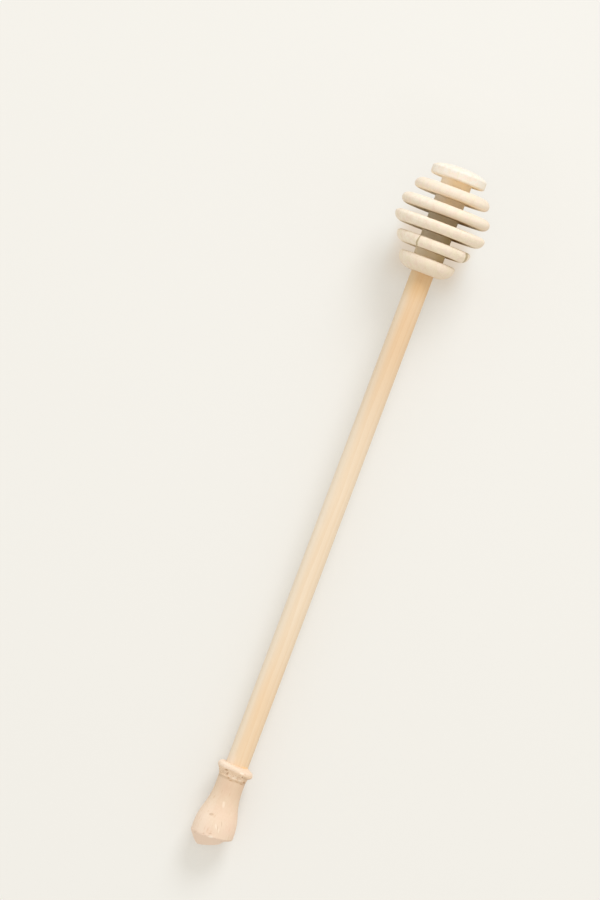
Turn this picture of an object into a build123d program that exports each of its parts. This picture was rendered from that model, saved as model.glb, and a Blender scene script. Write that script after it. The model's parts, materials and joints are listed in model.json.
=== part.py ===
"""Honey dipper: a grooved head and an end knob, both turned, on the two ends of a plain dowel.

It lies on its side, as it is put down on a table. The axis runs along X, from the knob to the
head, and climbs a little towards the head, because the head is thicker. The origin is on the
table, under the middle of the whole length. Sizes are in millimetres.
"""
from build123d import *
import os
from math import asin, atan2, cos, degrees, hypot, radians, sin, tan

# Handle: a dowel with a shouldered tenon at each end
handle_dia = 8.0
handle_seen_length = 180.5
handle_edge_chamfer = 0.2
tenon_dia = 6.0
tenon_chamfer = 0.5
head_tenon_length = 20.0
knob_tenon_length = 15.0

# Glued joints: free space round each tenon and past its end
glue_gap = 0.05
glue_pocket = 1.0
drill_point_angle = 118.0

# Head: discs are counted from the bowl at the handle to the cap at the free end
head_dia = 32.6
disc_dia_shares = (0.62, 0.82, 1.0, 0.98, 0.835, 0.605)
disc_thickness = 4.1
groove_width = 2.3
core_dia = 10.8
rim_crest_shares = (0.82, 0.76, 0.69, 0.51, 0.4, 0.17)
rim_depth_share = 1.1
bowl_thickness = 5.55
bowl_mouth_margin = 0.8
cap_thickness = 5.25
dome_height = 2.5
dome_rim_share = 0.5
dome_crown_share = 0.6

# End knob: measured from its flat end to the top of its collar
knob_length = 29.7
knob_dia = 15.0
knob_end_dia = 7.4
knob_end_round = 0.5
knob_chamfer_length = 4.1
belly_round = 1.6
belly_land = 1.9
flare_belly_share = 0.42
flare_neck_share = 0.5
neck_dia = 9.9
neck_length = 2.2
cove_height = 3.4
cove_neck_share = 0.55
collar_dia = 12.9
bead_height = 2.1
bead_crown_share = 0.55
bead_root_step = 0.2
bead_top_step = 1.0

# Turn of each quarter ellipse in the rims' outlines
quarter_turn_angle = 90.0

# How often the resting climb is worked out again from itself
climb_rounds = 6

# Places along the axis, from the knob's flat end
last_disc = len(disc_dia_shares) - 1
disc_pitch = disc_thickness + groove_width
head_start = knob_length + handle_seen_length
head_length = bowl_thickness + groove_width + (last_disc - 1) * disc_pitch + cap_thickness


def disc_radius(number):
    """Radius of a disc's rim."""
    return disc_dia_shares[number] * head_dia / 2


def disc_face(number):
    """Distance from the head's handle end to a disc's face that looks at the handle."""
    return bowl_thickness + groove_width + (number - 1) * disc_pitch


def near_round_length(number):
    """Length along the axis from a disc's face at the handle side to the crest of its rim."""
    thickness = {0: bowl_thickness, last_disc: cap_thickness}.get(number, disc_thickness)
    return rim_crest_shares[number] * thickness


def rounding(crest, radius, length, depth, before):
    """Quarter ellipse between a rim's crest and the face before it or behind it."""
    centre = (crest, radius - depth)
    start = 2 * quarter_turn_angle if before else quarter_turn_angle
    return EllipticalCenterArc(centre, length, depth, start_angle=start, arc_size=-quarter_turn_angle)


def turned(edges):
    """Solid of revolution about the X axis from an outline of edges that closes itself."""
    return revolve(make_face(Wire(edges)), Axis.X)


def blind_bore(mouth, depth, direction):
    """The space that a drill leaves: a round bore with a cone at its bottom."""
    bore_radius = tenon_dia / 2 + glue_gap
    bottom = mouth + direction * (depth + glue_pocket)
    tip = bottom + direction * bore_radius / tan(radians(drill_point_angle / 2))
    outline = Polyline((mouth, 0), (mouth, bore_radius), (bottom, bore_radius), (tip, 0), close=True)
    return turned(outline.edges())


def bowl_outline():
    """From the axis at the handle, round the bowl, to the core."""
    radius = disc_radius(0)
    mouth_radius = handle_dia / 2 + bowl_mouth_margin
    crest = near_round_length(0)
    length = bowl_thickness - crest
    mouth = Line((0, 0), (0, mouth_radius))
    curve = rounding(crest, radius, crest, radius - mouth_radius, True)
    rim = rounding(crest, radius, length, rim_depth_share * length, False)
    wall = Line(rim @ 1, (bowl_thickness, core_dia / 2))
    return mouth.edges() + curve.edges() + rim.edges() + wall.edges()


def face_and_round(number):
    """From the core before a disc, along the groove and up the disc's face, to its rim's crest."""
    near = disc_face(number)
    core = core_dia / 2
    length = near_round_length(number)
    near_round = rounding(near + length, disc_radius(number), length, rim_depth_share * length, True)
    groove = Polyline((near - groove_width, core), (near, core), near_round @ 0)
    return groove.edges() + near_round.edges()


def disc_outline(number):
    """From the core before a disc, along the groove and round the rim, to the core behind it."""
    crest = disc_face(number) + near_round_length(number)
    far = disc_face(number) + disc_thickness
    length = far - crest
    far_round = rounding(crest, disc_radius(number), length, rim_depth_share * length, False)
    wall = Line(far_round @ 1, (far, core_dia / 2))
    return face_and_round(number) + far_round.edges() + wall.edges()


def cap_outline():
    """From the core, along the last groove, round the cap's rim and over its dome, to the axis."""
    crest = disc_face(last_disc) + near_round_length(last_disc)
    end = disc_face(last_disc) + cap_thickness
    dome_start = end - dome_height
    radius = disc_radius(last_disc)
    land = Line((crest, radius), (dome_start, radius))
    dome = Bezier(
        land @ 1,
        (dome_start + dome_rim_share * dome_height, radius),
        (end, dome_crown_share * radius),
        (end, 0),
    )
    return face_and_round(last_disc) + land.edges() + dome.edges()


def dipper_head():
    """The turned head, with its bore for the handle's tenon."""
    edges = bowl_outline()
    for number in range(1, last_disc):
        edges += disc_outline(number)
    edges += cap_outline()
    edges += Line((head_length, 0), (0, 0)).edges()
    return Pos(head_start, 0, 0) * (turned(edges) - blind_bore(0, head_tenon_length, 1))


def handle_dowel():
    """The dowel: knob tenon, seen handle, head tenon."""
    radius = handle_dia / 2
    tenon_radius = tenon_dia / 2
    start = knob_length - knob_tenon_length
    end = head_start + head_tenon_length
    outline = Polyline(
        (start, 0),
        (start, tenon_radius - tenon_chamfer),
        (start + tenon_chamfer, tenon_radius),
        (knob_length, tenon_radius),
        (knob_length, radius - handle_edge_chamfer),
        (knob_length + handle_edge_chamfer, radius),
        (head_start - handle_edge_chamfer, radius),
        (head_start, radius - handle_edge_chamfer),
        (head_start, tenon_radius),
        (end - tenon_chamfer, tenon_radius),
        (end, tenon_radius - tenon_chamfer),
        (end, 0),
        close=True,
    )
    return turned(outline.edges())


def end_knob():
    """The turned knob: chamfered end, belly, flare, neck, cove, bead, and its bore."""
    belly_radius = knob_dia / 2
    belly_end = knob_chamfer_length + belly_land
    neck_radius = neck_dia / 2
    bead_start = knob_length - bead_height
    neck_end = bead_start - cove_height
    neck_start = neck_end - neck_length
    flare_length = neck_start - belly_end
    bead_radius = collar_dia / 2
    end = FilletPolyline(
        (0, 0), (0, knob_end_dia / 2), (knob_chamfer_length, belly_radius), (belly_end, belly_radius),
        radius=[knob_end_round, belly_round],
    )
    flare = Bezier(
        end @ 1,
        (belly_end + flare_belly_share * flare_length, belly_radius),
        (neck_start - flare_neck_share * flare_length, neck_radius),
        (neck_start, neck_radius),
    )
    neck = Line(flare @ 1, (neck_end, neck_radius))
    cove = Bezier(
        neck @ 1,
        (neck_end + cove_neck_share * cove_height, neck_radius),
        (bead_start, bead_radius - bead_root_step),
    )
    bead = ThreePointArc(
        cove @ 1,
        (bead_start + bead_crown_share * bead_height, bead_radius),
        (knob_length, bead_radius - bead_top_step),
    )
    top = Polyline(bead @ 1, (knob_length, 0), (0, 0))
    edges = end.edges() + flare.edges() + neck.edges() + cove.edges() + bead.edges() + top.edges()
    return turned(edges) - blind_bore(knob_length, knob_tenon_length, -1)


def resting_place():
    """Climb of the axis in degrees, and its height over the table at the knob's flat end.

    The table touches the round of the knob's belly and the elliptic round of the widest disc's rim,
    each given by its centre on the outline. How far the ellipse reaches towards the table depends
    on the climb, so the climb is worked out in a few rounds.
    """
    widest = disc_dia_shares.index(max(disc_dia_shares))
    rim_length = near_round_length(widest)
    rim_depth = rim_depth_share * rim_length
    chamfer_angle = atan2((knob_dia - knob_end_dia) / 2, knob_chamfer_length)
    belly = (knob_chamfer_length + belly_round * tan(chamfer_angle / 2), knob_dia / 2 - belly_round)
    rim = (head_start + disc_face(widest) + rim_length, disc_radius(widest) - rim_depth)
    along, across = rim[0] - belly[0], rim[1] - belly[1]
    climb = 0
    for _ in range(climb_rounds):
        rim_reach = hypot(rim_length * sin(climb), rim_depth * cos(climb))
        climb = atan2(across, along) + asin((rim_reach - belly_round) / hypot(along, across))
    height = belly[1] * cos(climb) - belly[0] * sin(climb) + belly_round
    return degrees(climb), height


climb_degrees, knob_height = resting_place()
laid_down = Pos(0, 0, knob_height) * Rot(0, -climb_degrees, 0)
pieces = {
    "dipper_head": laid_down * dipper_head(),
    "handle_dowel": laid_down * handle_dowel(),
    "end_knob": laid_down * end_knob(),
}
middle = Compound(children=[Part(piece.wrapped) for piece in pieces.values()]).bounding_box().center()
centred = Pos(-middle.X, 0, 0)

os.makedirs("parts", exist_ok=True)
for name, piece in pieces.items():
    export_step(centred * piece, f"parts/{name}.step")

knob_face = (centred * laid_down).position
print(f"axis climbs {climb_degrees:.4f} degrees")
print(f"knob's flat end is centred at {knob_face.X:.4f}, {knob_face.Y:.4f}, {knob_face.Z:.4f}")
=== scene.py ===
"""Honey dipper: a turned head and an end knob glued on a dowel, lying on a pale table.

The file is laid out as an add-on and is run as a script. Sizes of the pieces and places on the
table are metres in the part's own frame. Places on the wood, in its materials, its tables of
marks and the turning tree, are millimetres, with X along the dipper's axis from the knob's end.
"""
import json
import math

import bpy
from bpy.props import FloatProperty, FloatVectorProperty, PointerProperty
from mathutils import Matrix, Vector


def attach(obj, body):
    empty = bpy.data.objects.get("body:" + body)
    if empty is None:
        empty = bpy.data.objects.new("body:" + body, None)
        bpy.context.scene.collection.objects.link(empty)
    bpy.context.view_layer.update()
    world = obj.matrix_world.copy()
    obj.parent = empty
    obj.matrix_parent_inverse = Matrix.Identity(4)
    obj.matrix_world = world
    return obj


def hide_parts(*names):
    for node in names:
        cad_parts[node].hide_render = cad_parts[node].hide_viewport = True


bl_info = {
    "name": "Honey Dipper",
    "version": (1, 0, 0),
    "blender": (4, 5, 0),
    "location": "3D View > Sidebar > Honey Dipper",
    "description": "Turns the head, handle and end knob of a honey dipper and sets them on a pale table",
    "category": "Add Mesh",
}

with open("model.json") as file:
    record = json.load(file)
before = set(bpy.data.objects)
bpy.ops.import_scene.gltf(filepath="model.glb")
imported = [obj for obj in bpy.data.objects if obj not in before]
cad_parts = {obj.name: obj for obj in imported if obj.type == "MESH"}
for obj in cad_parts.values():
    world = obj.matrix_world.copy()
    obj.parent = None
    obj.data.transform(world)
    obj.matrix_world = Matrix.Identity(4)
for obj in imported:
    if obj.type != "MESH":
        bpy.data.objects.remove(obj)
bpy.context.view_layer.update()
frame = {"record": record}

MM = 0.001

# Spacing of the points along an outline
FINE = 0.22 * MM
COARSE = 0.55 * MM
COVE_SPACING = 0.12 * MM
BEAD_SPACING = 0.16 * MM
CORNER = 0.05 * MM
FEWEST_STEPS = 6
CURVE_TO_CHORD = 1.1

# Shares of the sizes that they follow, from the bowl at the handle to the cap at the free end
DISC_DIAMETER_SHARES = (0.62, 0.82, 1.0, 0.98, 0.835, 0.605)
RIM_CREST_SHARES = (0.82, 0.76, 0.69, 0.51, 0.4, 0.17)
RIM_DEPTH_SHARE = 1.1
DOME_RIM_SHARE = 0.5
DOME_CROWN_SHARE = 0.6
LAST_DISC = len(DISC_DIAMETER_SHARES) - 1

# The knob's curves, as shares of the lengths that they span, and its small steps and roundings
FLARE_BELLY_SHARE = 0.42
FLARE_NECK_SHARE = 0.5
COVE_NECK_SHARE = 0.55
BEAD_CROWN_SHARE = 0.55
BEAD_MIDDLE_SHARE = 0.55
BEAD_ROOT_STEP = 0.2 * MM
BEAD_TOP_STEP = 1.0 * MM
END_ROUND = 0.35 * MM
END_ROUND_ON_FLAT = 0.4 * MM
BELLY_ROUND = 0.5 * MM
BELLY_ROUND_ON_CHAMFER = (0.24 * MM, 0.22 * MM)

# The knob's random seed, and the step from a piece's seed to that of its torn fibres
KNOB_SEED = 6
TORN_SEED_STEP = 7

# Marks that stand out on the knob's upper side: middle along and across the axis, half length,
# half width, slant in radians, and strength
# The pale marks are partly pale flecks, a chip and torn flakes, and partly painted highlights where the
# lamps glint on the bead and the knob's upper side
PALE_FLECKS_AND_HIGHLIGHTS = (
    (15.9, -0.4, 1.2, 0.42, 0.25, 0.36),
    (8.1, -0.6, 1.0, 0.3, 0.5, 0.4),
    (7.2, -1.9, 0.9, 0.25, 0.3, 0.35),
    (28.1, -2.5, 0.35, 0.8, 0.0, 0.7),
    (4.2, -0.1, 0.45, 0.9, 0.1, 0.7),
    (27.0, -2.7, 0.4, 0.45, 0.3, 0.4),
    (25.7, -0.6, 0.5, 0.9, 0.3, 0.45),
    (25.8, 1.2, 0.4, 0.6, -0.3, 0.4),
    (25.5, -2.8, 0.4, 0.6, 0.1, 0.4),
)
PORES = (
    (11.4, 2.4, 0.45, 0.8, 0.3, 0.48),
    (9.6, -2.1, 1.0, 0.16, 0.35, 0.36),
    (7.8, -1.3, 0.9, 0.14, 0.4, 0.34),
    (5.2, 0.4, 0.16, 0.7, 0.15, 0.45),
    (3.6, -4.2, 0.2, 0.5, -0.4, 0.3),
)
TEARS = (
    (27.4, 2.9, 0.28, 0.6, 0.2, 0.75),
    (26.4, 2.1, 0.55, 0.24, -0.3, 0.65),
    (25.0, 1.3, 0.3, 0.4, 0.5, 0.65),
    (24.4, 0.2, 0.2, 0.7, 0.1, 0.65),
    (24.6, -1.9, 0.18, 0.8, -0.2, 0.5),
    (26.8, -3.1, 0.42, 0.22, 0.2, 0.75),
    (25.1, -4.3, 0.42, 0.4, 0.4, 0.75),
    (24.3, -3.6, 0.22, 0.7, -0.2, 0.55),
    (26.2, -0.2, 0.3, 0.17, 0.6, 0.5),
)

# Tints that the woods' colours are multiplied by. Those named SHADE, and the shadow on the handle, are
# painted shade
BOWL_SHADE = (0.92, 0.90, 0.88)
FOURTH_DISC_SHADE = (0.95, 0.935, 0.93)
HEAD_RING_TINT = (0.93, 0.885, 0.82)
HEAD_GRAIN_TINT = (0.94, 0.90, 0.85)
HEAD_SPECKLE_TINT = (0.90, 0.85, 0.78)
GROOVE_SIDE_SHADE = (0.87, 0.82, 0.66)
LOWER_GROOVES_SHADE = (0.94, 0.93, 0.85)
HANDLE_BY_HEAD_TINT = (0.93, 0.89, 0.84)
HEAD_SHADOW_ON_HANDLE = (0.94, 0.86, 0.71)
HANDLE_RING_TINT = (0.90, 0.81, 0.68)
HANDLE_GRAIN_TINT = (0.93, 0.87, 0.77)
KNOB_GRAIN_TINT = (0.93, 0.87, 0.80)
KNOB_FLECK_TINT = (0.86, 0.77, 0.67)
NECK_SHADE = (0.88, 0.85, 0.79)
COVE_FOOT_SHADE = (0.88, 0.86, 0.82)
TABLE_CLOUD_TINT = (0.985, 0.98, 0.97)

# Soft spots of painted light on the table by the head, tan bounce light and shadows lightened more:
# middle, half size and soft edge along the dipper, then half size and soft edge across it
BOUNCE_SPOT = (0.095, 0.005, 0.012, 0.008, 0.008)
LIGHT_SPOT = (0.118, 0.016, 0.018, 0.02, 0.02)
TABLE_HALF_SIDE = 3.0

# Lamps: the two sides, the direction from the origin and the distance from it
HEAD_LAMP = ((1.2, 1.0), Vector((0.994, -0.11, 0.79)), 2.6)
TOP_LAMP = ((0.8, 0.8), Vector((0, 0, 1)), 2.0)

# Camera: its place and target on the table, the direction that is up in the picture, and a last
# small turn about its own line of sight
CAMERA_PLACE = (0.0, 0.0177)
CAMERA_TARGET = Vector((0.01452, 0.01796, 0.0))
PICTURE_UP = Vector((0.93569, 0.35284, 0))
CAMERA_TURN = math.radians(-0.012)
CAMERA_CLIP = (0.05, 20.0)


# The dipper's axis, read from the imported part

def knob_end_place():
    """The middle of the knob's flat end, and how far the axis climbs towards the head."""
    mount = next(m for m in frame["record"]["mounts"] if m["name"] == "knob_end")
    along = -Vector(mount["axis"])
    return Vector(mount["pos_m"]), math.atan2(along.z, along.x)


KNOB_END, CLIMB = knob_end_place()
LAID_DOWN = Matrix.Translation(KNOB_END) @ Matrix.Rotation(-CLIMB, 4, "Y")


# Nodes

class Value:
    """One output of a node. Plain arithmetic on it adds Math nodes to its tree."""

    def __init__(self, tree, node, output=0):
        self.tree, self.node = tree, node
        named = [o for o in node.outputs if o.enabled and output in (o.name, o.identifier)]
        self.socket = named[0] if named else node.outputs[output]

    def of(self, output):
        """Another output of the same node."""
        return Value(self.tree, self.node, output)

    def math(self, operation, *others):
        """A Math node on this value and the others."""
        return self.tree.add("ShaderNodeMath", {"operation": operation}, (self, *others))

    def __add__(self, other):
        return self.math("ADD", other)

    __radd__ = __add__

    def __sub__(self, other):
        return self.math("SUBTRACT", other)

    def __rsub__(self, other):
        return self.tree.add("ShaderNodeMath", {"operation": "SUBTRACT"}, (other, self))

    def __mul__(self, other):
        return self.math("MULTIPLY", other)

    __rmul__ = __mul__

    def __truediv__(self, other):
        return self.math("DIVIDE", other)

    def __rtruediv__(self, other):
        return self.tree.add("ShaderNodeMath", {"operation": "DIVIDE"}, (other, self))

    def __pow__(self, other):
        return self.math("POWER", other)

    def __abs__(self):
        return self.math("ABSOLUTE")

    def step(self, low, high):
        """0 below low, 1 above high, and smooth between. With low above high it falls instead."""
        sockets = {"Value": self, "From Min": low, "From Max": high}
        return self.tree.add("ShaderNodeMapRange", {"interpolation_type": "SMOOTHSTEP"}, sockets)

    def band(self, middle, half_width, soft):
        """1 within half_width of middle, and 0 a little further out."""
        return abs(self - middle).step(half_width + soft, half_width)


def opaque(colour):
    """A colour as a socket takes it: three plain numbers get an alpha of 1."""
    return colour if isinstance(colour, Value) else (*colour, 1)


class Tree:
    """Adds nodes to a shader tree or a geometry tree."""

    # The Mix node's colour sockets go by place, because those for numbers have the same names
    MIX_FACTOR, MIX_FIRST, MIX_SECOND, MIX_RESULT = 0, 6, 7, 2

    def __init__(self, node_tree):
        self.nodes, self.links = node_tree.nodes, node_tree.links
        self.nodes.clear()

    def add(self, kind, settings=None, sockets=(), output=0):
        """A node of that kind. Its settings are set first, then the values or links of its sockets."""
        node = self.nodes.new(kind)
        for name, setting in (settings or {}).items():
            setattr(node, name, setting)
        pairs = sockets.items() if isinstance(sockets, dict) else enumerate(sockets)
        for name, value in pairs:
            socket = self.find(node.inputs, name)
            if isinstance(value, Value):
                self.links.new(value.socket, socket)
            else:
                socket.default_value = value
        return Value(self, node, output) if node.outputs else node

    @staticmethod
    def find(sockets, name):
        """The socket at that place, or the one in use with that name."""
        if isinstance(name, int):
            return sockets[name]
        return next(s for s in sockets if s.name == name and s.enabled)

    def mix(self, factor, first, second, blend="MIX"):
        """A colour between two colours."""
        settings = {"data_type": "RGBA", "blend_type": blend}
        sockets = {
            self.MIX_FACTOR: factor,
            self.MIX_FIRST: opaque(first),
            self.MIX_SECOND: opaque(second),
        }
        return self.add("ShaderNodeMix", settings, sockets, self.MIX_RESULT)

    def tint(self, colour, other, factor):
        """A colour multiplied by another."""
        return self.mix(factor, colour, other, "MULTIPLY")

    def parts(self, vector):
        """The three parts of a vector."""
        split = self.add("ShaderNodeSeparateXYZ", None, (vector,))
        return split.of("X"), split.of("Y"), split.of("Z")

    def scaled(self, vector, factor):
        """A vector times a number."""
        sockets = {"Vector": vector, "Scale": factor}
        return self.add("ShaderNodeVectorMath", {"operation": "SCALE"}, sockets)

    def stretched(self, place, along, across):
        """Places for a pattern that is longer along the axis than across it."""
        scale = {0: place, 1: (1 / along, 1 / across, 1 / across)}
        return self.add("ShaderNodeVectorMath", {"operation": "MULTIPLY"}, scale)

    def noise(self, place, size, detail, roughness=0.5, seed=0.0):
        """Random values near 0.5 that change over that size."""
        sockets = {
            "Vector": place, "W": seed, "Scale": 1 / size, "Detail": detail, "Roughness": roughness,
        }
        return self.add("ShaderNodeTexNoise", {"noise_dimensions": "4D"}, sockets)


def off_axis(y, z):
    """Distance from a line along the axis, from its two parts across."""
    return (y * y + z * z) ** 0.5


def torn_fibres(tree, place, seed):
    """Values near 0.5 that change over the short fibres of torn grain."""
    fibres = tree.stretched(place, along=0.7, across=0.45)
    return tree.noise(fibres, size=1.0, detail=4.0, roughness=0.7, seed=seed)


# Turned pieces: an outline, and a geometry tree that turns it

def steps_along(length, spacing):
    """How many steps a curve of that length has."""
    return max(FEWEST_STEPS, math.ceil(length / spacing))


class Outline:
    """Half outline of a turned piece, as distances along the axis and radii."""

    def __init__(self, start):
        self.points = [(start, 0.0)]

    def line(self, x, radius, spacing=FINE):
        """Straight to a corner, with points close to both ends, so that corners stay crisp."""
        x0, radius0 = self.points[-1]
        length = math.hypot(x - x0, radius - radius0)
        if length > 3 * CORNER:
            inner = length - 2 * CORNER
            steps = max(1, math.ceil(inner / spacing))
            places = [CORNER + inner * i / steps for i in range(steps + 1)] + [length]
        else:
            places = [length]
        for place in places:
            share = place / length
            self.points.append((x0 + (x - x0) * share, radius0 + (radius - radius0) * share))

    def rounding(self, crest, radius, length, depth, before):
        """Quarter ellipse between a rim's crest and the face before it or behind it."""
        steps = steps_along(math.hypot(length, depth) * CURVE_TO_CHORD, FINE)
        for i in range(1, steps + 1):
            angle = math.pi / 2 * i / steps
            if before:
                point = (crest - length * math.cos(angle), radius - depth * (1 - math.sin(angle)))
            else:
                point = (crest + length * math.sin(angle), radius - depth * (1 - math.cos(angle)))
            self.points.append(point)

    def curve(self, *guides, spacing=FINE):
        """Bezier curve from the last point to the last guide, drawn towards those between."""
        guides = [self.points[-1], *guides]
        degree = len(guides) - 1
        steps = steps_along(math.dist(guides[0], guides[-1]) * CURVE_TO_CHORD, spacing)
        for i in range(1, steps + 1):
            t = i / steps
            shares = [math.comb(degree, k) * t**k * (1 - t) ** (degree - k) for k in range(degree + 1)]
            point = (sum(s * guide[axis] for s, guide in zip(shares, guides)) for axis in (0, 1))
            self.points.append(tuple(point))

    def arc(self, crown, end, spacing):
        """Circular arc from the last point, through a crown point, to the end."""
        a, b, c = (complex(*p) for p in (self.points[-1], crown, end))
        w = (c - a) / (b - a)
        centre = (b - a) * (w - abs(w) ** 2) / (2j * w.imag) + a
        first, last = a - centre, c - centre
        sweep = math.atan2((last / first).imag, (last / first).real)
        steps = steps_along(abs(sweep) * abs(first), spacing)
        for i in range(1, steps + 1):
            angle = sweep * i / steps
            point = centre + first * complex(math.cos(angle), math.sin(angle))
            self.points.append((point.real, point.imag))

    def mesh(self, name):
        """The outline as a chain of edges, with the radius as its height."""
        mesh = bpy.data.meshes.new(name)
        edges = [(i, i + 1) for i in range(len(self.points) - 1)]
        mesh.from_pydata([(x, 0, r) for x, r in self.points], edges, [])
        return mesh


TURNING_INPUTS = (
    ("Outline", "NodeSocketGeometry", None),
    ("Sides", "NodeSocketInt", 96),
    ("Unevenness", "NodeSocketFloat", 0.03),
    ("Unevenness Size", "NodeSocketFloat", 9.0),
    ("Tool Mark Depth", "NodeSocketFloat", 0.01),
    ("Tool Mark Pitch", "NodeSocketFloat", 1.2),
    ("Torn Depth", "NodeSocketFloat", 0.0),
    ("Torn Middle", "NodeSocketFloat", 0.0),
    ("Torn Half Length", "NodeSocketFloat", 1.0),
    ("Nick Depth", "NodeSocketFloat", 0.0),
    ("Nick Middle", "NodeSocketFloat", 0.0),
    ("End Tilt", "NodeSocketFloat", 0.0),
    ("Tip Tilt", "NodeSocketFloat", 0.0),
    ("Lean", "NodeSocketFloat", 0.0),
    ("Bead Tilt", "NodeSocketFloat", 0.0),
    ("Bead Middle", "NodeSocketFloat", 0.0),
    ("Seed", "NodeSocketInt", 0),
    ("Wood", "NodeSocketMaterial", None),
)


def turning_tree():
    """Turns an outline about X into a closed skin, then lowers it by tool marks, tears and nicks.

    The inputs for depths and places are in millimetres.
    """
    group = bpy.data.node_groups.new("Turning", "GeometryNodeTree")
    for name, kind, default in TURNING_INPUTS:
        socket = group.interface.new_socket(name, in_out="INPUT", socket_type=kind)
        if default is not None:
            socket.default_value = default
    group.interface.new_socket("Turned Piece", in_out="OUTPUT", socket_type="NodeSocketGeometry")
    tree = Tree(group)
    given = tree.add("NodeGroupInput")

    # a sheet of points, one column for each side, wrapped round the axis
    outline = given.of("Outline")
    count = tree.add("GeometryNodeAttributeDomainSize", {"component": "MESH"}, (outline,))
    sheet_sockets = {"Vertices X": given.of("Sides") + 1, "Vertices Y": count}
    sheet = tree.add("GeometryNodeMeshGrid", None, sheet_sockets)
    index = tree.add("GeometryNodeInputIndex")
    column = (index / count).math("FLOOR")
    angle = column / given.of("Sides") * math.tau
    sampled = tree.add("GeometryNodeSampleIndex", {"data_type": "FLOAT_VECTOR"}, {
        "Geometry": outline,
        "Value": tree.add("GeometryNodeInputPosition"),
        "Index": index - column * count,
    })
    along, _, height = tree.parts(sampled)
    round_axis = (along, height * angle.math("COSINE"), height * angle.math("SINE"))
    wrapped = tree.add("ShaderNodeCombineXYZ", None, round_axis)
    turned = tree.add("GeometryNodeSetPosition", None, {"Geometry": sheet, "Position": wrapped})
    closed = tree.add("GeometryNodeMergeByDistance", None, {"Geometry": turned, "Distance": 1e-6})

    # how deep the surface lies under the ideal one
    place = tree.scaled(tree.add("GeometryNodeInputPosition"), 1 / MM)
    x, y, z = tree.parts(place)
    radius = off_axis(y, z)
    seed = given.of("Seed")
    uneven = tree.noise(place, given.of("Unevenness Size"), detail=1.0, seed=seed)
    wander = tree.noise(place, size=4.0, detail=1.0, seed=seed + 3)
    waves = ((x + radius + wander) / given.of("Tool Mark Pitch") * math.tau).math("SINE")
    marks = waves * 0.5 + 0.5
    ragged = torn_fibres(tree, place, seed + TORN_SEED_STEP).step(0.4, 0.62)
    patches = tree.noise(place, size=2.6, detail=1.0, seed=seed + 11).step(0.34, 0.56)
    off_middle = abs(x - given.of("Torn Middle")) / given.of("Torn Half Length")
    torn = ragged * patches * off_middle.step(1.0, 0.75)
    nicks = tree.noise(place, size=0.9, detail=2.0, roughness=0.6, seed=seed + 17).step(0.55, 0.7)
    nicked = nicks * abs(x - given.of("Nick Middle")).step(0.8, 0.2)
    depth = (
        uneven * given.of("Unevenness")
        + marks * given.of("Tool Mark Depth")
        + torn * given.of("Torn Depth")
        + nicked * given.of("Nick Depth")
    )
    lowered = tree.scaled(tree.add("GeometryNodeInputNormal"), depth * -MM)
    worked = tree.add("GeometryNodeSetPosition", None, {"Geometry": closed, "Offset": lowered})

    # the end below the nicked corner and the bead aren't cut square: the bead slants beyond its
    # hinge, the tip slants about its own, and the whole piece leans
    bead_hinge, tip_hinge = 1.0, 2.5
    end = x.step(given.of("Nick Middle") + 2.5, given.of("Nick Middle") - 0.5)
    tip = x.step(given.of("Nick Middle"), 0.5)
    bead = abs(x - given.of("Bead Middle")).step(2.2, 1.2) * radius.step(4.2, 5.4)
    hanging = (y - bead_hinge).math("MINIMUM", 0.0)
    slant = (
        hanging * bead * given.of("Bead Tilt")
        - y * end * given.of("End Tilt")
        - (y - tip_hinge) * tip * given.of("Tip Tilt")
    )
    lean = (x - given.of("Bead Middle")) * given.of("Lean")
    cut = tree.add("ShaderNodeCombineXYZ", None, (slant * MM, lean * MM, 0.0))
    skewed = tree.add("GeometryNodeSetPosition", None, {"Geometry": worked, "Offset": cut})
    smooth = tree.add("GeometryNodeSetShadeSmooth", None, {"Geometry": skewed})
    real = tree.add("GeometryNodeRealizeInstances", None, (smooth,))
    wood_sockets = {"Geometry": real, "Material": given.of("Wood")}
    tree.add("NodeGroupOutput", None, (tree.add("GeometryNodeSetMaterial", None, wood_sockets),))
    return group


def turn(name, outline, node, slot, wood, **inputs):
    """Turns an outline into a piece that stands for its CAD node."""
    group = bpy.data.node_groups.get("Turning") or turning_tree()
    blank = bpy.data.objects.new(name + "_blank", outline.mesh(name + "_outline"))
    bpy.context.scene.collection.objects.link(blank)
    modifier = blank.modifiers.new("Turning", "NODES")
    modifier.node_group = group
    sockets = {i.name: i.identifier for i in group.interface.items_tree if i.in_out == "INPUT"}
    modifier[sockets["Wood"]] = wood
    for key, value in inputs.items():
        modifier[sockets[key.replace("_", " ").title()]] = value
    graph = bpy.context.evaluated_depsgraph_get()
    mesh = bpy.data.meshes.new_from_object(blank.evaluated_get(graph))
    bpy.data.objects.remove(blank)
    if not mesh.polygons:
        raise RuntimeError(f"{name} came out empty")
    mesh.name = name
    mesh.transform(LAID_DOWN)
    piece = bpy.data.objects.new(name, mesh)
    bpy.context.scene.collection.objects.link(piece)
    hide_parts(node)
    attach(piece, "root")


# Wood

def new_wood(name):
    """A material, its tree, and the places on the wood."""
    material = bpy.data.materials.new(name)
    material.use_nodes = True
    tree = Tree(material.node_tree)
    place = tree.add("ShaderNodeMapping", {"vector_type": "TEXTURE"}, {
        "Vector": tree.add("ShaderNodeTexCoord").of("Object"),
        "Location": KNOB_END,
        "Rotation": (0, -CLIMB, 0),
        "Scale": (MM, MM, MM),
    })
    return material, tree, place


def finish_wood(tree, colour, roughness, height, relief, specular):
    """Joins the wood's colour, roughness and relief, a depth in millimetres, to its surface."""
    bump_sockets = {"Strength": 1.0, "Distance": relief * MM, "Height": height}
    surface = tree.add("ShaderNodeBsdfPrincipled", None, {
        "Normal": tree.add("ShaderNodeBump", None, bump_sockets),
        "Base Color": colour,
        "Roughness": roughness,
        "Specular IOR Level": specular,
    })
    tree.add("ShaderNodeOutputMaterial", None, {"Surface": surface})


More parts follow.
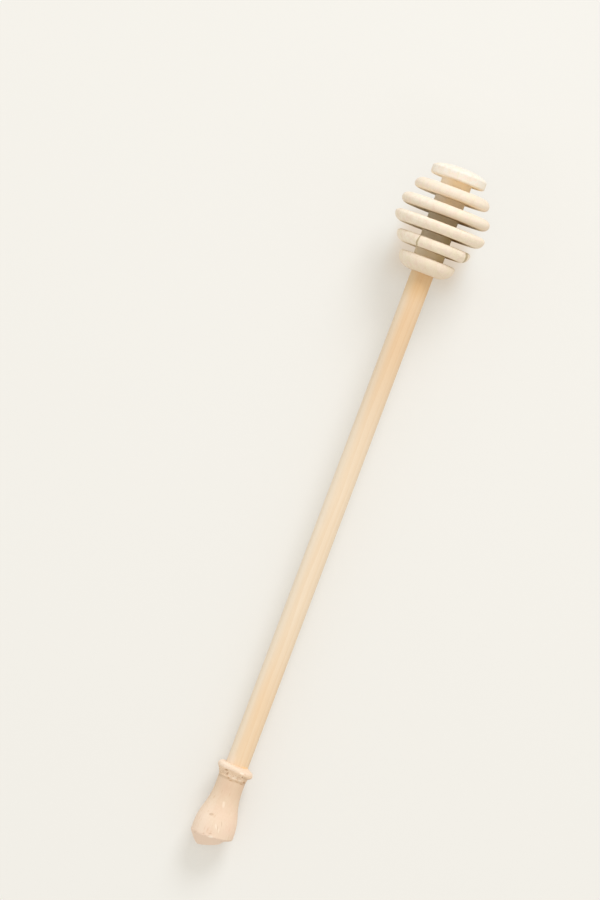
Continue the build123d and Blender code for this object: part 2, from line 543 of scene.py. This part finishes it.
def rings(tree, place, pith, spacing, seed):
    """Growth rings about a line along the axis. Each darkens slowly and ends sharply in late wood."""
    sway = tree.noise(tree.stretched(place, along=60, across=14), size=1.0, detail=2.0, seed=seed)
    _, y, z = tree.parts(place)
    from_pith = off_axis(y - pith[0], z - pith[1]) + sway * 3.0
    return (from_pith / spacing).math("FRACT") ** 2.5


def streaks(tree, place, length, width, seed):
    """Fine lines along the grain, from 0 to 1."""
    grain = tree.stretched(place, length, width)
    return tree.noise(grain, size=1.0, detail=4.0, roughness=0.6, seed=seed).step(0.3, 0.7)


def flecks(tree, place, length, width, share):
    """Separate short dashes along the grain. A larger share has more of them."""
    cells = tree.add("ShaderNodeTexVoronoi", {"voronoi_dimensions": "3D", "feature": "F1"}, {
        "Vector": tree.stretched(place, length, width), "Scale": 1.0, "Randomness": 1.0,
    })
    chosen = tree.add("ShaderNodeSeparateColor", None, (cells.of("Color"),))
    return cells.of("Distance").step(0.42, 0.15) * chosen.math("LESS_THAN", share)


def mark_at(parts, middle_x, middle_y, half_length, half_width, slant=0.0):
    """1 in one mark on the upper side, given by its middle, half sizes and slant."""
    cos, sin = math.cos(slant), math.sin(slant)
    x, y, z = parts
    along = ((x - middle_x) * cos + (y - middle_y) * sin) / half_length
    across = ((y - middle_y) * cos - (x - middle_x) * sin) / half_width
    return (along * along + across * across).step(1.4, 0.3) * z.step(0.0, 1.0)


def head_wood(sizes):
    """Pale cream wood, with painted light and shade: brown painted shade on the grooves' walls, bright
    warm cores that are painted light, and the bowl, the cap, the fourth disc and one side painted to
    match how the lamps light them.
    """
    material, tree, place = new_wood("head_wood")
    x, y, z = tree.parts(place)
    radius = off_axis(y, z)
    ring = rings(tree, place, pith=(21.0, -13.0), spacing=2.3, seed=3.1)
    fine = streaks(tree, place, length=5.0, width=0.28, seed=5.0)
    broad = tree.noise(place, size=7.0, detail=2.0, seed=9.0).step(0.3, 0.7)

    # places along the axis: the first groove, the disc behind it, and the head's middle
    first = (sizes.start + sizes.bowl_thickness) / MM
    disc = (sizes.start + sizes.bowl_thickness + sizes.groove_width) / MM
    middle = disc + 12.0
    half_disc = sizes.disc_thickness / 2 / MM
    half_groove = sizes.groove_width / 2 / MM
    pitch = (sizes.disc_thickness + sizes.groove_width) / MM
    last_groove = first + pitch * (LAST_DISC - 1)

    # slow changes from the bowl to the cap and across, most of them painted light and shade, then spots,
    # rings and grain
    colour = tree.mix(broad * 0.6, sizes.rim_colour, sizes.warm_colour)
    # painted light: the bowl and the first disc lighter, against the shade that the lamp leaves on them
    colour = tree.mix(x.step(middle + 1.0, middle - 7.0), colour, sizes.lit_bowl_colour)
    # painted shade: the bowl, which faces the handle, darker
    colour = tree.tint(colour, BOWL_SHADE, x.step(middle - 13.0, middle - 14.0))
    # painted light: the cap paler and greyer, as if washed out by the lamp beyond the head
    colour = tree.mix(x.step(middle + 7.0, middle + 18.0) * 0.85, colour, sizes.lit_cap_colour)
    # painted light: one side of the head paler
    colour = tree.mix(y.step(2.0, 9.0) * 0.4, colour, sizes.lit_side_colour)
    # painted shade: the fourth disc darker, where the lamp beyond the head lights it most
    fourth_disc = x.band(middle + 10.8, half_width=2.0, soft=0.5)
    colour = tree.tint(colour, FOURTH_DISC_SHADE, fourth_disc)
    pinkish = tree.noise(place, size=1.8, detail=2.0, roughness=0.6, seed=31.0).step(0.42, 0.66)
    yellowish = tree.noise(place, size=1.6, detail=2.0, roughness=0.6, seed=37.0).step(0.44, 0.66)
    colour = tree.mix(pinkish * 0.6, colour, sizes.pinkish_colour)
    colour = tree.mix(yellowish * 0.45, colour, sizes.yellowish_colour)
    colour = tree.tint(colour, HEAD_RING_TINT, ring * 0.35)
    colour = tree.tint(colour, HEAD_GRAIN_TINT, fine * 0.3)
    speckle = tree.noise(place, size=0.35, detail=2.0, roughness=0.7, seed=41.0).step(0.5, 0.72)
    colour = tree.tint(colour, HEAD_SPECKLE_TINT, speckle * 0.6)

    # one late-wood ring crosses the rim of the disc next to the bowl twice, either side of its
    # middle, and each line wobbles and bends
    ring_middle, ring_half_width, wobble_half = -3.15, 8.9, 0.6
    wobble = tree.noise(place, size=3.0, detail=1.0, seed=21.0) * (2 * wobble_half)
    bend = (x - disc - half_disc) * (x - disc - half_disc) * 0.15
    from_line = abs(y - ring_middle) - ring_half_width + bend + wobble - wobble_half
    line = abs(from_line).step(0.42, 0.12) * z.step(0.0, 2.0)
    line = line * x.band(disc + half_disc, half_width=half_disc - 0.3, soft=0.3)
    colour = tree.mix(line * 0.72, colour, sizes.line_colour)

    # cores, repeated at the discs' pitch, in a bright warm colour that is painted light; painted shade
    # at one side and by the bowl, and painted light at the other side and the far edges
    from_start = x - first - half_groove + pitch / 2
    from_groove = abs(from_start.math("FLOORED_MODULO", pitch) - pitch / 2)
    grooved = from_groove.step(half_groove + 0.22, half_groove + 0.02)
    grooved = grooved * x.step(first - 0.5, first - 0.3)
    grooved = grooved * x.step(last_groove + 4.0, last_groove + 3.2)
    groove_light_patches = tree.noise(place, size=2.2, detail=3.0, seed=2.0).step(0.2, 0.75) * 0.3 + 0.7
    colour = tree.mix(grooved * groove_light_patches, colour, sizes.groove_light_colour)
    shaded_side = y.step(-0.6, -4.4) * x.step(middle + 3.0, middle - 5.0)
    colour = tree.tint(colour, GROOVE_SIDE_SHADE, grooved * shaded_side)
    lit_sides = y.step(0.2, 4.6) + y.step(-7.0, -10.0)
    colour = tree.mix(grooved * lit_sides * 0.9, colour, sizes.lit_groove_side_colour)
    lower = x.step(middle + 4.0, middle + 2.0)
    colour = tree.tint(colour, LOWER_GROOVES_SHADE, grooved * lower)

    # walls, painted shade: brown on top and less so at the sides and towards the cap
    core = sizes.core_diameter / 2 / MM
    on_top = 1.0 - abs(y + 2.5).step(4.0, 9.0) * 0.7
    wall = grooved * radius.step(core + 0.1, core + 0.8) * on_top
    dark = 1.0 - x.step(first + pitch * 1.5, first + pitch * 3.4) * 0.88
    colour = tree.mix(wall * dark, colour, sizes.wall_shade_colour)

    roughness = 0.6 + fine * 0.12 + grooved * 0.1
    ridge_pitch = 0.6
    ridges = (radius * math.tau / ridge_pitch).math("SINE") * grooved * 0.3
    height = fine * 0.5 + tree.noise(place, size=0.35, detail=3.0, seed=4.0) + ridges
    finish_wood(tree, colour, roughness, height, relief=0.03, specular=0.25)
    return material


def handle_wood(sizes):
    """Yellowish, straight-grained dowel wood, with an orange spot at the joint with the knob, and
    painted light and shade: one side paler, the collar's pinkish light and the head's shadow by the
    bowl.
    """
    material, tree, place = new_wood("handle_wood")
    parts = x, y, _ = tree.parts(place)
    knob = sizes.start / MM
    bowl = (sizes.start + sizes.seen_length) / MM
    middle = (sizes.start + sizes.seen_length * 0.5) / MM
    ring = rings(tree, place, pith=(9.0, 14.0), spacing=1.9, seed=1.3)
    fine = streaks(tree, place, length=26.0, width=0.22, seed=2.0)
    stretches = tree.stretched(place, along=40, across=6)
    broad = tree.noise(stretches, size=1.0, detail=2.0, seed=6.0).step(0.3, 0.7)
    colour = tree.mix(broad, sizes.colour, sizes.warm_colour)
    pale = x.band(middle, half_width=30.0, soft=40.0)
    colour = tree.mix(pale * 0.8, colour, sizes.pale_colour)
    # painted light: one side of the dowel paler
    colour = tree.mix(y.step(0.6, 3.4) * 0.75, colour, sizes.lit_side_colour)
    colour = tree.tint(colour, HANDLE_BY_HEAD_TINT, x.step(bowl - 80.0, bowl - 25.0))
    # painted shadow of the head on the handle, next to the bowl
    colour = tree.tint(colour, HEAD_SHADOW_ON_HANDLE, x.step(bowl - 12.0, bowl - 4.0))
    colour = tree.tint(colour, HANDLE_RING_TINT, ring * 0.35)
    colour = tree.tint(colour, HANDLE_GRAIN_TINT, fine * 0.4)
    # painted reflection: the pinkish light that the knob's collar throws on one side of the handle
    collar_bounce = x.step(knob + 4.5, knob + 1.5) * y.step(0.2, 2.6)
    colour = tree.mix(collar_bounce * 0.7, colour, sizes.collar_bounce_colour)
    # an orange spot at the joint with the knob, a little glossier
    joint_spot = mark_at(parts, knob + 0.2, -2.9, half_length=0.45, half_width=1.3)
    colour = tree.mix(joint_spot * 0.6, colour, sizes.joint_spot_colour)
    roughness = 0.52 + fine * 0.15 - joint_spot * 0.2
    height = fine + tree.noise(place, size=0.4, detail=2.0, seed=4.0) * 0.4
    finish_wood(tree, colour, roughness, height, relief=0.025, specular=0.5)
    return material


def knob_wood(sizes):
    """Pinkish wood with short flecks, darker where its grain is torn, with painted shade on the neck,
    below the cove and on the chamfered end, painted light on one side and in the cove, and painted
    highlights among the pale flecks.
    """
    material, tree, place = new_wood("knob_wood")
    parts = x, y, _ = tree.parts(place)
    fine = streaks(tree, place, length=6.0, width=0.3, seed=8.0)
    broad = tree.noise(place, size=6.0, detail=2.0, seed=12.0).step(0.3, 0.7)
    colour = tree.mix(broad, sizes.colour, sizes.warm_colour)
    # painted light: one side of the knob paler
    colour = tree.mix(y.step(0.5, 4.5) * 0.5, colour, sizes.lit_side_colour)
    colour = tree.tint(colour, KNOB_GRAIN_TINT, fine * 0.4)
    dashes = flecks(tree, place, length=2.8, width=0.6, share=0.22)
    colour = tree.tint(colour, KNOB_FLECK_TINT, dashes * 0.45)

    # the neck painted brown as shade, the pink chamfered end in a colour tuned to its shade, and the
    # torn cove under the collar, painted lighter against the bead's shade
    torn_middle = sizes.torn_middle / MM
    ragged = torn_fibres(tree, place, float(KNOB_SEED + TORN_SEED_STEP))
    cove = x.band(torn_middle, sizes.torn_half_length / MM, soft=0.35)
    torn = cove * ragged.step(0.4, 0.62)
    # painted shade: the neck darker, in the collar's shade
    brown = x.step(7.0, 22.0) * x.step(torn_middle - 0.5, torn_middle - 1.2)
    colour = tree.tint(colour, NECK_SHADE, brown)
    # painted shade just below the torn cove
    foot = x.band(torn_middle - 1.6, half_width=0.35, soft=0.6)
    colour = tree.tint(colour, COVE_FOOT_SHADE, foot)
    # painted light and shade: the chamfered end has a colour of its own, tuned to the shade that falls
    # on it
    colour = tree.mix(x.step(5.2, 3.6), colour, sizes.end_light_and_shade_colour)
    # pale torn fibres, also painted lighter against the shade that the bead casts on the cove
    colour = tree.mix(cove * 0.8, colour, sizes.torn_and_lit_colour)
    edges = ragged.band(0.47, half_width=0.012, soft=0.03)
    colour = tree.mix(cove * edges * 0.4, colour, sizes.tear_colour)

    # the few pores, pale flecks and painted highlights, and tears that stand out
    kinds = ((PALE_FLECKS_AND_HIGHLIGHTS, sizes.fleck_and_highlight_colour), (PORES, sizes.pore_colour), (TEARS, sizes.tear_colour))
    for marks, mark_colour in kinds:
        for *mark, strength in marks:
            colour = tree.mix(mark_at(parts, *mark) * strength, colour, mark_colour)
    roughness = 0.55 + fine * 0.1 + torn * 0.25
    height = fine * 0.5 + tree.noise(place, size=0.3, detail=3.0, seed=4.0) - torn
    finish_wood(tree, colour, roughness, height, relief=0.035, specular=0.3)
    return material


# Settings

def amount(name, description, default, least=0, **more):
    """A number that isn't negative, or isn't under the least that is given."""
    return FloatProperty(name=name, description=description, default=default, min=least, **more)


def distance(name, description, default):
    """A length in metres, shown in the scene's units."""
    return amount(name, description, default, unit="LENGTH", subtype="DISTANCE", precision=5)


def tone(name, description, default):
    """A colour, as three linear numbers."""
    return FloatVectorProperty(
        name=name, description=description, default=default, min=0, max=1, size=3, subtype="COLOR")


class HeadSettings(bpy.types.PropertyGroup):
    """Sizes and colours of the head"""
    start: distance("Start", "From the knob's flat end to the bowl's mouth", 210.2 * MM)
    diameter: distance("Diameter", "Over the widest disc", 32.6 * MM)
    disc_thickness: distance("Disc Thickness", "Of each disc between the bowl and the cap", 4.1 * MM)
    groove_width: distance("Groove Width", "Between two discs", 2.3 * MM)
    core_diameter: distance("Core Diameter", "At the bottom of the grooves", 10.8 * MM)
    bowl_thickness: distance("Bowl Thickness", "Of the disc at the handle", 5.55 * MM)
    mouth_diameter: distance("Mouth Diameter", "Of the flat round the handle", 9.6 * MM)
    cap_thickness: distance("Cap Thickness", "Of the disc at the free end", 5.25 * MM)
    dome_height: distance("Dome Height", "Of the cap's round end", 2.5 * MM)
    rim_colour: tone("Rim Colour", "Of the discs' rims", (0.86, 0.75, 0.61))
    warm_colour: tone("Warm Colour", "Of the rims' warmer patches", (0.87, 0.725, 0.575))
    # painted light: a lighter colour for the bowl and the first disc
    lit_bowl_colour: tone("Bowl Colour", "Of the wood at the bowl", (0.96, 0.845, 0.68))
    # painted light: a paler, greyer colour for the cap
    lit_cap_colour: tone("Cap Colour", "Of the wood at the cap", (0.83, 0.795, 0.725))
    pinkish_colour: tone("Pinkish Colour", "Of the rims' pinkish spots", (0.88, 0.715, 0.605))
    yellowish_colour: tone("Yellowish Colour", "Of the rims' yellowish spots", (0.85, 0.77, 0.57))
    lit_side_colour: tone("Lit Side Colour", "Of one side, painted paler as if more lit", (0.95, 0.90, 0.80))
    line_colour: tone("Line Colour", "Of the dark lines on the disc by the bowl", (0.40, 0.30, 0.13))
    # painted light: the cores' bright, warm colour stands for the light in the grooves
    groove_light_colour: tone("Groove Colour", "Of the cores between the discs", (1.0, 0.835, 0.58))
    # painted light: paler cores at one side and at the far edges
    lit_groove_side_colour: tone("Pale Groove Colour", "Of the cores' pale edges", (1.0, 0.91, 0.78))
    wall_shade_colour: tone("Wall Colour", "Of the painted shade on the grooves' walls", (0.38, 0.21, 0.07))


class HandleSettings(bpy.types.PropertyGroup):
    """Sizes and colours of the handle"""
    start: distance("Start", "From the knob's flat end to the handle's seen part", 29.7 * MM)
    seen_length: distance("Seen Length", "From the knob to the head", 180.5 * MM)
    diameter: distance("Diameter", "Of the dowel", 8.0 * MM)
    tenon_diameter: distance("Tenon Diameter", "Of its glued ends", 6.0 * MM)
    tenon_length: distance("Tenon Length", "That is made inside the head and the knob", 2.0 * MM)
    edge: distance("Edge", "Chamfer at the handle's shoulders", 0.06 * MM)
    seat: distance("Seat", "How deep its shoulders sit in the head and the knob", 0.2 * MM)
    colour: tone("Colour", "Of the dowel", (0.83, 0.657, 0.465))
    warm_colour: tone("Warm Colour", "Of its warmer stretches", (0.83, 0.62, 0.405))
    pale_colour: tone("Pale Colour", "Of its middle stretch", (0.83, 0.687, 0.517))
    lit_side_colour: tone("Lit Side Colour", "Of one side, painted paler as if more lit", (0.87, 0.78, 0.65))
    collar_bounce_colour: tone("Collar Bounce Colour", "Of the collar's pinkish light, painted on the handle", (0.86, 0.70, 0.54))
    joint_spot_colour: tone("Joint Spot Colour", "Of the orange spot at the joint with the knob", (0.95, 0.62, 0.28))


class KnobSettings(bpy.types.PropertyGroup):
    """Sizes and colours of the end knob"""
    length: distance("Length", "From the flat end to the collar's top", 29.7 * MM)
    diameter: distance("Diameter", "Over the belly", 15.0 * MM)
    end_diameter: distance("End Diameter", "Of the flat end", 7.4 * MM)
    chamfer_length: distance("Chamfer Length", "From the flat end to the belly", 4.1 * MM)
    belly_land: distance("Belly Land", "Length of the straight belly", 1.9 * MM)
    neck_diameter: distance("Neck Diameter", "At the waist", 9.9 * MM)
    neck_length: distance("Neck Length", "Of the straight waist", 2.2 * MM)
    cove_height: distance("Cove Height", "Of the hollow under the collar", 3.4 * MM)
    collar_diameter: distance("Collar Diameter", "Over the bead", 12.9 * MM)
    bead_height: distance("Bead Height", "Of the collar's bead", 2.1 * MM)
    torn_middle: distance("Torn Middle", "Middle of the torn cove, from the flat end", 26.5 * MM)
    torn_half_length: distance("Torn Half Length", "Half the length of the torn cove", 1.2 * MM)
    colour: tone("Colour", "Of the knob", (0.845, 0.675, 0.515))
    warm_colour: tone("Warm Colour", "Of its warmer patches", (0.845, 0.64, 0.49))
    lit_side_colour: tone("Lit Side Colour", "Of one side, painted paler as if more lit", (0.94, 0.80, 0.665))
    # painted light and shade: the chamfered end's colour is tuned to its shade
    end_light_and_shade_colour: tone("End Colour", "Of its chamfered end", (0.885, 0.69, 0.545))
    fleck_and_highlight_colour: tone("Fleck And Highlight Colour", "Of the pale flecks and painted highlights", (0.98, 0.85, 0.70))
    pore_colour: tone("Pore Colour", "Of the dark flecks", (0.50, 0.33, 0.20))
    # partly the torn fibres' paleness and partly painted light against the bead's shade
    torn_and_lit_colour: tone("Torn Colour", "Of the torn cove's pale fibres", (0.98, 0.76, 0.55))
    tear_colour: tone("Tear Colour", "Of the dark edges of its tears", (0.50, 0.28, 0.14))


class StageSettings(bpy.types.PropertyGroup):
    """Colours, lamps and camera of the stage"""
    table_colour: tone("Table Colour", "Of the pale table", (0.80, 0.787, 0.745))
    backdrop_colour: tone(
        "Backdrop Colour", "Behind the table, and in its lightened shadows", (0.915, 0.889, 0.826))
    bounce_colour: tone(
        "Bounce Colour", "Of the light that the head's grooves throw down", (0.835, 0.70, 0.56))
    sky_colour: tone("Sky Colour", "Of the even light from all round", (1.0, 0.965, 0.90))
    sky_strength: amount("Sky Strength", "Of the even light from all round", 0.77)
    lamp_colour: tone("Lamp Colour", "Of both lamps", (0.875, 0.915, 1.0))
    head_lamp_power: amount("Head Lamp Power", "Of the lamp beyond the head", 37.4, unit="POWER")
    top_lamp_power: amount("Top Lamp Power", "Of the lamp straight above", 3.8, unit="POWER")
    lift: amount("Lift", "How much the table's shadows are lightened", 0.32, max=1)
    head_lift: amount("Head Lift", "How much more by the head's free end", 0.52, max=1)
    camera_height: distance("Camera Height", "Over the table", 1.4)
    lens: amount("Lens", "Focal length in millimetres", 161.61, least=1, unit="CAMERA")


# Operators

class DIPPER_OT_head(bpy.types.Operator):
    """Turn the grooved head: bowl, four discs and cap on one core"""
    bl_idname = "dipper.head"
    bl_label = "Turn Head"

    def execute(self, context):
        sizes = context.scene.dipper_head
        outline = Outline(sizes.start)
        core, mouth = sizes.core_diameter / 2, sizes.mouth_diameter / 2
        pitch = sizes.disc_thickness + sizes.groove_width
        outline.line(sizes.start, mouth)
        for number, share in enumerate(DISC_DIAMETER_SHARES):
            radius = share * sizes.diameter / 2
            if number == 0:
                near, thickness = sizes.start, sizes.bowl_thickness
            else:
                near = sizes.start + sizes.bowl_thickness + sizes.groove_width + (number - 1) * pitch
                thickness = sizes.cap_thickness if number == LAST_DISC else sizes.disc_thickness
            to_crest = RIM_CREST_SHARES[number] * thickness
            crest, beyond = near + to_crest, thickness - to_crest
            if number == 0:
                outline.rounding(crest, radius, to_crest, radius - mouth, before=True)
            else:
                depth = RIM_DEPTH_SHARE * to_crest
                outline.line(near, core)
                outline.line(near, radius - depth, COARSE)
                outline.rounding(crest, radius, to_crest, depth, before=True)
            if number < LAST_DISC:
                outline.rounding(crest, radius, beyond, RIM_DEPTH_SHARE * beyond, before=False)
                outline.line(near + thickness, core, COARSE)
        end = near + thickness
        dome = end - sizes.dome_height
        shoulder = (dome + DOME_RIM_SHARE * sizes.dome_height, radius)
        outline.line(dome, radius)
        outline.curve(shoulder, (end, DOME_CROWN_SHARE * radius), (end, 0.0))
        turn(
            "dipper_head_wood", outline, "dipper_head", "head_wood", head_wood(sizes),
            sides=160, unevenness=0.1, unevenness_size=5.0,
            tool_mark_depth=0.02, tool_mark_pitch=1.3, seed=4,
        )
        return {"FINISHED"}


class DIPPER_OT_handle(bpy.types.Operator):
    """Turn the dowel that joins the knob and the head"""
    bl_idname = "dipper.handle"
    bl_label = "Turn Handle"

    def execute(self, context):
        sizes = context.scene.dipper_handle
        radius, tenon = sizes.diameter / 2, sizes.tenon_diameter / 2
        start, end = sizes.start - sizes.seat, sizes.start + sizes.seen_length + sizes.seat
        outline = Outline(start - sizes.tenon_length)
        outline.line(start - sizes.tenon_length, tenon, COARSE)
        outline.line(start, tenon, COARSE)
        outline.line(start, radius - sizes.edge, COARSE)
        outline.line(start + sizes.edge, radius)
        outline.line(end - sizes.edge, radius, COARSE)
        outline.line(end, radius - sizes.edge)
        outline.line(end, tenon, COARSE)
        outline.line(end + sizes.tenon_length, tenon, COARSE)
        outline.line(end + sizes.tenon_length, 0.0, COARSE)
        turn(
            "handle_dowel_wood", outline, "handle_dowel", "handle_wood", handle_wood(sizes),
            sides=80, unevenness=0.06, unevenness_size=14.0, tool_mark_depth=0.0, seed=2,
        )
        return {"FINISHED"}


class DIPPER_OT_knob(bpy.types.Operator):
    """Turn the end knob: chamfer, belly, flare, neck, torn cove and bead"""
    bl_idname = "dipper.knob"
    bl_label = "Turn Knob"

    def execute(self, context):
        sizes = context.scene.dipper_knob
        end, belly, neck = sizes.end_diameter / 2, sizes.diameter / 2, sizes.neck_diameter / 2
        collar = sizes.collar_diameter / 2
        belly_start = sizes.chamfer_length
        belly_end = belly_start + sizes.belly_land
        bead_start = sizes.length - sizes.bead_height
        neck_end = bead_start - sizes.cove_height
        neck_start = neck_end - sizes.neck_length
        flare = neck_start - belly_end
        back, down = BELLY_ROUND_ON_CHAMFER
        outline = Outline(0.0)
        outline.line(0.0, end - END_ROUND_ON_FLAT, COARSE)
        outline.curve((0.0, end), (END_ROUND, end + END_ROUND))
        outline.line(belly_start - back, belly - down)
        outline.curve((belly_start, belly), (belly_start + BELLY_ROUND, belly))
        outline.line(belly_end, belly)
        outline.curve(
            (belly_end + FLARE_BELLY_SHARE * flare, belly),
            (neck_start - FLARE_NECK_SHARE * flare, neck),
            (neck_start, neck),
        )
        outline.line(neck_end, neck)
        foot = (neck_end + COVE_NECK_SHARE * sizes.cove_height, neck)
        outline.curve(foot, (bead_start, collar - BEAD_ROOT_STEP), spacing=COVE_SPACING)
        crown = (bead_start + BEAD_CROWN_SHARE * sizes.bead_height, collar)
        outline.arc(crown, (sizes.length, collar - BEAD_TOP_STEP), BEAD_SPACING)
        outline.line(sizes.length, 0.0, COARSE)
        turn(
            "end_knob_wood", outline, "end_knob", "knob_wood", knob_wood(sizes),
            sides=256, unevenness=0.12, unevenness_size=5.0,
            tool_mark_depth=0.02, tool_mark_pitch=0.9, seed=KNOB_SEED,
            torn_depth=0.3, torn_middle=sizes.torn_middle / MM,
            torn_half_length=sizes.torn_half_length / MM,
            nick_depth=0.25, nick_middle=sizes.chamfer_length / MM,
            end_tilt=0.09, tip_tilt=0.25, lean=0.010, bead_tilt=0.11,
            bead_middle=(sizes.length - sizes.bead_height * BEAD_MIDDLE_SHARE) / MM,
        )
        return {"FINISHED"}


def seen_rays(tree):
    """1 for the rays that show the table and the sky, directly, reflected or through glass."""
    ray = tree.add("ShaderNodeLightPath")
    return ray.of("Is Camera Ray") + ray.of("Is Glossy Ray") + ray.of("Is Transmission Ray")


def soft_spot(x, y, middle, half_length, soft_length, half_width, soft_width):
    """1 in one spot of the table under the dipper, and 0 a little further out."""
    return x.band(middle, half_length, soft_length) * y.band(0.0, half_width, soft_width)


class DIPPER_OT_stage(bpy.types.Operator):
    """Lay the table, hang the lamps and set the camera"""
    bl_idname = "dipper.stage"
    bl_label = "Set Stage"

    def execute(self, context):
        settings = context.scene.dipper_stage
        self.lay_table(settings)
        self.light_sky(settings)
        self.hang_lamp("head_lamp", settings.lamp_colour, settings.head_lamp_power, *HEAD_LAMP)
        self.hang_lamp("top_lamp", settings.lamp_colour, settings.top_lamp_power, *TOP_LAMP)
        self.set_camera(settings)
        context.scene.view_settings.view_transform = "Standard"
        return {"FINISHED"}

    @staticmethod
    def lay_table(settings):
        """A pale square whose shadows are lightened, more so by the head's free end."""
        side = TABLE_HALF_SIDE
        corners = [(-side, -side, 0), (side, -side, 0), (side, side, 0), (-side, side, 0)]
        mesh = bpy.data.meshes.new("table")
        mesh.from_pydata(corners, [], [(0, 1, 2, 3)])
        table = bpy.data.objects.new("table", mesh)
        bpy.context.scene.collection.objects.link(table)
        material = bpy.data.materials.new("table_paint")
        material.use_nodes = True
        tree = Tree(material.node_tree)
        place = tree.add("ShaderNodeTexCoord").of("Object")
        cloud = tree.noise(place, size=0.15, detail=2.0, seed=1.0)
        paint = tree.tint(settings.table_colour, TABLE_CLOUD_TINT, cloud)
        surface = tree.add("ShaderNodeBsdfPrincipled", None, {
            "Base Color": paint, "Roughness": 0.8, "Specular IOR Level": 0.1})
        x, y, _ = tree.parts(place)
        bounce = soft_spot(x, y, *BOUNCE_SPOT)
        colour = tree.mix(bounce, settings.backdrop_colour, settings.bounce_colour)
        bright = tree.add("ShaderNodeEmission", None, {"Color": colour, "Strength": 1.0})
        lift = settings.lift + soft_spot(x, y, *LIGHT_SPOT) * settings.head_lift
        both = tree.add("ShaderNodeMixShader", None, (seen_rays(tree) * lift, surface, bright))
        tree.add("ShaderNodeOutputMaterial", None, {"Surface": both})
        mesh.materials.append(material)

    @staticmethod
    def light_sky(settings):
        """Even light from all round, and the backdrop where the sky itself is seen."""
        world = bpy.data.worlds.new("soft_sky")
        bpy.context.scene.world = world
        world.use_nodes = True
        tree = Tree(world.node_tree)
        sky = tree.add("ShaderNodeBackground", None, {
            "Color": opaque(settings.sky_colour), "Strength": settings.sky_strength})
        backdrop = tree.add("ShaderNodeBackground", None, {
            "Color": opaque(settings.backdrop_colour), "Strength": 1.0})
        both = tree.add("ShaderNodeMixShader", None, (seen_rays(tree), sky, backdrop))
        tree.add("ShaderNodeOutputWorld", None, {"Surface": both})

    @staticmethod
    def hang_lamp(name, colour, power, sides, towards, distance_off):
        """A soft rectangle of light, that far from the origin and turned to it."""
        lamp = bpy.data.lights.new(name, "AREA")
        lamp.shape = "RECTANGLE"
        lamp.size, lamp.size_y = sides
        lamp.energy = power
        lamp.color = colour
        holder = bpy.data.objects.new(name, lamp)
        holder.location = towards.normalized() * distance_off
        holder.rotation_euler = towards.to_track_quat("Z", "Y").to_euler()
        bpy.context.scene.collection.objects.link(holder)

    @staticmethod
    def set_camera(settings):
        """A camera over the handle that looks almost straight down."""
        data = bpy.data.cameras.new("camera")
        data.lens = settings.lens
        data.clip_start, data.clip_end = CAMERA_CLIP
        camera = bpy.data.objects.new("camera", data)
        place = Vector((*CAMERA_PLACE, settings.camera_height))
        back = (place - CAMERA_TARGET).normalized()
        aside = Vector((-PICTURE_UP.y, PICTURE_UP.x, 0))
        up = PICTURE_UP * math.cos(CAMERA_TURN) + aside * math.sin(CAMERA_TURN)
        right = up.cross(back).normalized()
        up = back.cross(right)
        facing = Matrix((right, up, back)).transposed().to_4x4()
        camera.matrix_world = Matrix.Translation(place) @ facing
        bpy.context.scene.collection.objects.link(camera)
        bpy.context.scene.camera = camera


class DIPPER_PT_panel(bpy.types.Panel):
    """Sizes, colours and operators of the honey dipper"""
    bl_idname = "DIPPER_PT_panel"
    bl_label = "Honey Dipper"
    bl_space_type = "VIEW_3D"
    bl_region_type = "UI"
    bl_category = "Honey Dipper"

    def draw(self, context):
        for name, (_, operator) in SETTINGS.items():
            box = self.layout.box()
            settings = getattr(context.scene, name)
            for key in settings.__annotations__:
                box.prop(settings, key)
            box.operator(operator.bl_idname)


SETTINGS = {
    "dipper_head": (HeadSettings, DIPPER_OT_head),
    "dipper_handle": (HandleSettings, DIPPER_OT_handle),
    "dipper_knob": (KnobSettings, DIPPER_OT_knob),
    "dipper_stage": (StageSettings, DIPPER_OT_stage),
}


def register():
    """Adds the settings, the operators and the panel."""
    for name, (settings, operator) in SETTINGS.items():
        bpy.utils.register_class(settings)
        bpy.utils.register_class(operator)
        setattr(bpy.types.Scene, name, PointerProperty(type=settings))
    bpy.utils.register_class(DIPPER_PT_panel)


def unregister():
    """Takes them away again."""
    bpy.utils.unregister_class(DIPPER_PT_panel)
    for name, (settings, operator) in reversed(SETTINGS.items()):
        delattr(bpy.types.Scene, name)
        bpy.utils.unregister_class(operator)
        bpy.utils.unregister_class(settings)


def main():
    """Makes everything in order."""
    register()
    bpy.ops.dipper.stage()
    bpy.ops.dipper.head()
    bpy.ops.dipper.handle()
    bpy.ops.dipper.knob()


if __name__ == "__main__":
    main()
